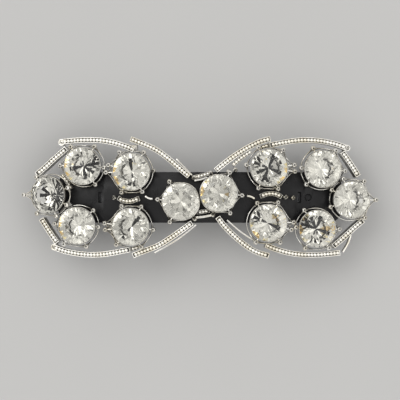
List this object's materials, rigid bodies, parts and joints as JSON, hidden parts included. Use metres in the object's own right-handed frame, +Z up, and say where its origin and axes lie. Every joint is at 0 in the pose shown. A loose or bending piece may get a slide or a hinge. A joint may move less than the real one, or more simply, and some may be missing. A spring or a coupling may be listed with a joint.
{
  "type": "hair barrette",
  "caption": "Bow-shaped openwork hair clip: round faceted stones in ball-tipped settings inside beaded silver rails, on a sprung barrette back with a hinged clasp arm.",
  "frame": {"origin": "under the middle of the clip, on the surface that it lies on, stones up", "axes": "+X along the clip towards the latch, +Y across it, +Z up through the stones"},
  "size_m": [0.0706, 0.024, 0.0141],
  "materials": {
    "milgrain_silver": "antiqued bright silver plate, dark in the recesses",
    "rim_silver": "bright silver plate",
    "crystal": "faceted clear crystal with a foiled back",
    "black_lacquer": "gloss black lacquer on steel",
    "spring_steel": "bright rolled spring steel"
  },
  "bodies": {
    "frame": {"base_bar": "black_lacquer", "bow_spring": "spring_steel", "centre_link_left": "milgrain_silver", "centre_link_right": "milgrain_silver", "cross_link_left": "milgrain_silver", "cross_link_right": "milgrain_silver", "hinge_pin": "spring_steel", "latch_rivet": "spring_steel", "latch_web": "spring_steel", "rail_left_bottom": "milgrain_silver", "rail_left_inner_lower": "milgrain_silver", "rail_left_inner_upper": "milgrain_silver", "rail_left_outer_lower": "milgrain_silver", "rail_left_outer_upper": "milgrain_silver", "rail_left_top": "milgrain_silver", "rail_right_bottom": "milgrain_silver", "rail_right_inner_lower": "milgrain_silver", "rail_right_inner_upper": "milgrain_silver", "rail_right_outer_lower": "milgrain_silver", "rail_right_outer_upper": "milgrain_silver", "rail_right_top": "milgrain_silver", "setting_left_centre": "rim_silver", "setting_left_end": "rim_silver", "setting_left_inner_lower": "rim_silver", "setting_left_inner_upper": "rim_silver", "setting_left_outer_lower": "rim_silver", "setting_left_outer_upper": "rim_silver", "setting_right_centre": "rim_silver", "setting_right_end": "rim_silver", "setting_right_inner_lower": "rim_silver", "setting_right_inner_upper": "rim_silver", "setting_right_outer_lower": "rim_silver", "setting_right_outer_upper": "rim_silver", "stone_left_centre": "crystal", "stone_left_end": "crystal", "stone_left_inner_lower": "crystal", "stone_left_inner_upper": "crystal", "stone_left_outer_lower": "crystal", "stone_left_outer_upper": "crystal", "stone_right_centre": "crystal", "stone_right_end": "crystal", "stone_right_inner_lower": "crystal", "stone_right_inner_upper": "crystal", "stone_right_outer_lower": "crystal", "stone_right_outer_upper": "crystal", "waist_link_bottom": "milgrain_silver", "waist_link_top": "milgrain_silver"},
    "clasp_arm": {"clasp_arm": "black_lacquer"},
    "upper_finger": {"latch_finger_upper": "spring_steel"},
    "lower_finger": {"latch_finger_lower": "spring_steel"}
  },
  "joints": [
    {"name": "clasp_arm_hinge", "type": "hinge", "parent": "frame", "child": "clasp_arm", "pos_m": [-0.026, 0, 0.0015], "axis": [0, 1, 0], "range_deg": [0, 75]},
    {"name": "upper_finger_squeeze", "type": "hinge", "parent": "frame", "child": "upper_finger", "pos_m": [0.0244, 0.00175, 0.0052], "axis": [-1, 0, 0], "range_deg": [0, 8], "stiffness_Nm_per_rad": 0.02},
    {"name": "lower_finger_squeeze", "type": "hinge", "parent": "frame", "child": "lower_finger", "pos_m": [0.0244, -0.00175, 0.0052], "axis": [1, 0, 0], "range_deg": [0, 8]}
  ],
  "couplings": [
    {"joint": "lower_finger_squeeze", "follows": "upper_finger_squeeze", "ratio": 1}
  ]
}
